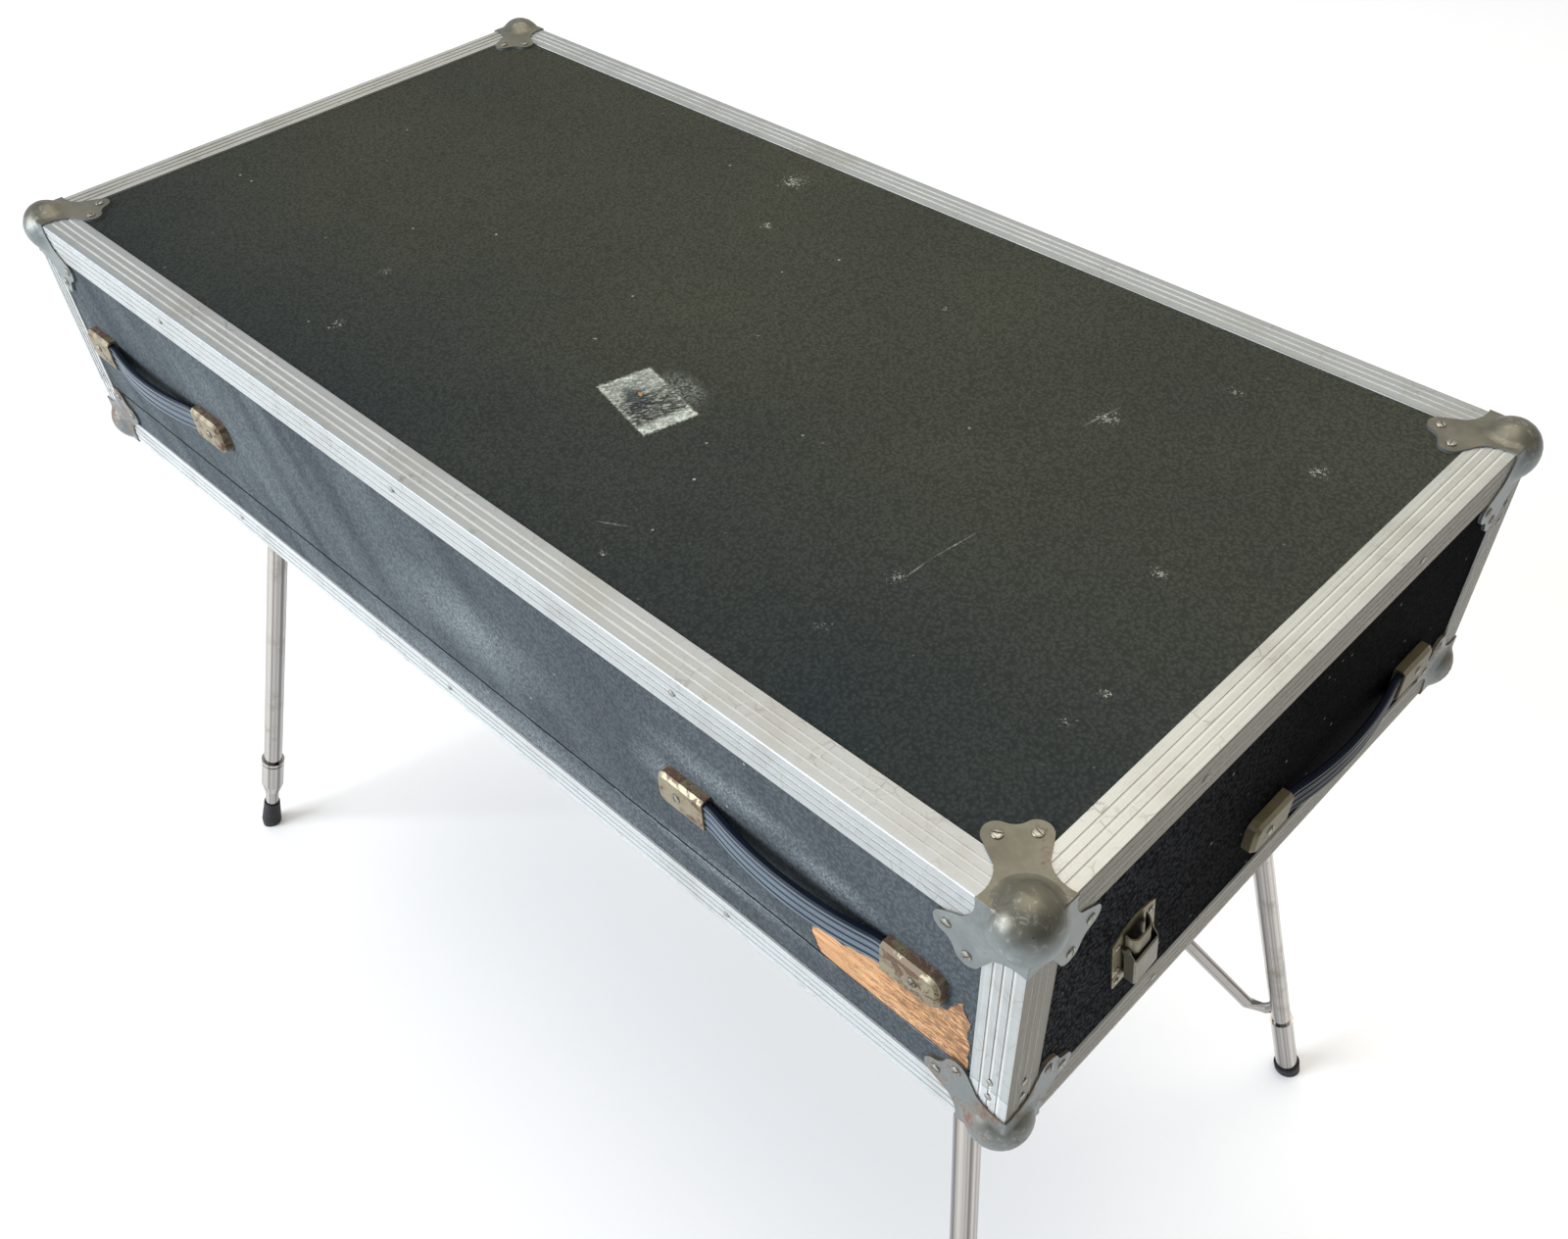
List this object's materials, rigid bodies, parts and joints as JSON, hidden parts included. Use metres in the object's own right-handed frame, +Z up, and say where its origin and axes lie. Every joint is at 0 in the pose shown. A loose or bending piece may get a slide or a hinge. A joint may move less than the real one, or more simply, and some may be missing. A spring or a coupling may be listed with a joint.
{
  "type": "flight case on legs",
  "caption": "Black leathercloth flight case with a hinged lid, ribbed metal edging, ball corners, strap handles and draw latches, standing on splayed tube legs.",
  "frame": {"origin": "on the floor, in the middle of the footprint of the whole part", "axes": "+Z up, +X along the long side towards the right-hand latch, +Y to the hinged back"},
  "size_m": [1.2612, 0.6521, 0.9121],
  "materials": {
    "plywood": "bare birch ply, seen inside and through a tear in the covering",
    "leathercloth": "grained black leathercloth, dusty and scuffed",
    "edging_aluminium": "ribbed extrusion, dull and scratched",
    "corner_steel": "zinc-plated pressing, dulled, rusty below",
    "strap_vinyl": "blue-black moulded strap with fine ribs",
    "cap_brass": "brassed steel, pitted and rust-brown in places",
    "latch_nickel": "worn nickel plate, brassier at the top",
    "screw_steel": "dull slotted screw heads",
    "hinge_steel": "dull zinc plate",
    "socket_iron": "black casting under the base",
    "leg_chrome": "old chrome plate, softened by fine scratches",
    "bush_plastic": "pale nylon guide ring",
    "foot_rubber": "black rubber, dusty"
  },
  "bodies": {
    "base": {"base_bottom_panel": "plywood", "base_front_panel": "plywood", "base_back_panel": "plywood", "base_left_panel": "plywood", "base_right_panel": "plywood", "base_covering": "leathercloth", "base_long_edgings": "edging_aluminium", "base_short_edgings": "edging_aluminium", "base_corner_posts": "edging_aluminium", "base_ball_corners": "corner_steel", "side_strap_left": "strap_vinyl", "side_strap_right": "strap_vinyl", "side_strap_caps": "cap_brass", "latch_keepers": "latch_nickel", "base_screws": "screw_steel", "hinge_base_leaves": "hinge_steel", "hinge_pins": "hinge_steel", "leg_sockets": "socket_iron", "front_leg_tube_left": "leg_chrome", "front_leg_tube_right": "leg_chrome", "rear_leg_tube_left": "leg_chrome", "rear_leg_tube_right": "leg_chrome", "rear_leg_sleeves": "leg_chrome", "rear_feet": "foot_rubber", "rear_brace_left": "leg_chrome", "rear_brace_right": "leg_chrome", "brace_bolts": "screw_steel"},
    "lid": {"lid_top_panel": "plywood", "lid_front_panel": "plywood", "lid_back_panel": "plywood", "lid_left_panel": "plywood", "lid_right_panel": "plywood", "lid_covering": "leathercloth", "lid_long_edgings": "edging_aluminium", "lid_short_edgings": "edging_aluminium", "lid_corner_posts": "edging_aluminium", "lid_ball_corners": "corner_steel", "front_strap_left": "strap_vinyl", "front_strap_right": "strap_vinyl", "front_strap_caps": "cap_brass", "latch_plates": "latch_nickel", "latch_pins": "latch_nickel", "lid_screws": "screw_steel", "hinge_lid_leaves": "hinge_steel"},
    "lever_left": {"latch_lever_left": "latch_nickel"},
    "hook_left": {"latch_hook_left": "latch_nickel", "latch_rivets_left": "latch_nickel"},
    "extension_left": {"leg_extension_left": "leg_chrome", "extension_bush_left": "bush_plastic", "front_foot_left": "foot_rubber"},
    "collar_left": {"leg_collar_left": "leg_chrome"},
    "lever_right": {"latch_lever_right": "latch_nickel"},
    "hook_right": {"latch_hook_right": "latch_nickel", "latch_rivets_right": "latch_nickel"},
    "extension_right": {"leg_extension_right": "leg_chrome", "extension_bush_right": "bush_plastic", "front_foot_right": "foot_rubber"},
    "collar_right": {"leg_collar_right": "leg_chrome"}
  },
  "joints": [
    {"name": "lid_hinge", "type": "hinge", "parent": "base", "child": "lid", "pos_m": [0, 0.31105, 0.83785], "axis": [-1, 0, 0], "range_deg": [0, 105]},
    {"name": "latch_lever_left", "type": "hinge", "parent": "lid", "child": "lever_left", "pos_m": [-0.5965, -0.15923, 0.75947], "axis": [0, -0.9815, -0.1912], "range_deg": [0, 100]},
    {"name": "latch_hook_left", "type": "hinge", "parent": "lever_left", "child": "hook_left", "pos_m": [-0.596, -0.16248, 0.77615], "axis": [0, -0.9815, -0.1912], "range_deg": [-100, 0]},
    {"name": "leg_extension_left", "type": "slide", "parent": "base", "child": "extension_left", "axis": [-0.2102, -0.22, -0.9526], "range_m": [0, 0.12]},
    {"name": "leg_collar_left", "type": "hinge", "parent": "base", "child": "collar_left", "pos_m": [-0.4735, -0.16225, 0.6604], "axis": [-0.2102, -0.22, -0.9526], "range_deg": [0, 90]},
    {"name": "latch_lever_right", "type": "hinge", "parent": "lid", "child": "lever_right", "pos_m": [0.5965, -0.15923, 0.75947], "axis": [0, 0.9815, 0.1912], "range_deg": [0, 100]},
    {"name": "latch_hook_right", "type": "hinge", "parent": "lever_right", "child": "hook_right", "pos_m": [0.596, -0.16248, 0.77615], "axis": [0, 0.9815, 0.1912], "range_deg": [-100, 0]},
    {"name": "leg_extension_right", "type": "slide", "parent": "base", "child": "extension_right", "axis": [0.2102, -0.22, -0.9526], "range_m": [0, 0.12]},
    {"name": "leg_collar_right", "type": "hinge", "parent": "base", "child": "collar_right", "pos_m": [0.4735, -0.16225, 0.6604], "axis": [0.2102, -0.22, -0.9526], "range_deg": [0, 90]}
  ],
  "couplings": [
    {"joint": "latch_hook_left", "follows": "latch_lever_left", "ratio": -1},
    {"joint": "latch_hook_right", "follows": "latch_lever_right", "ratio": -1}
  ]
}
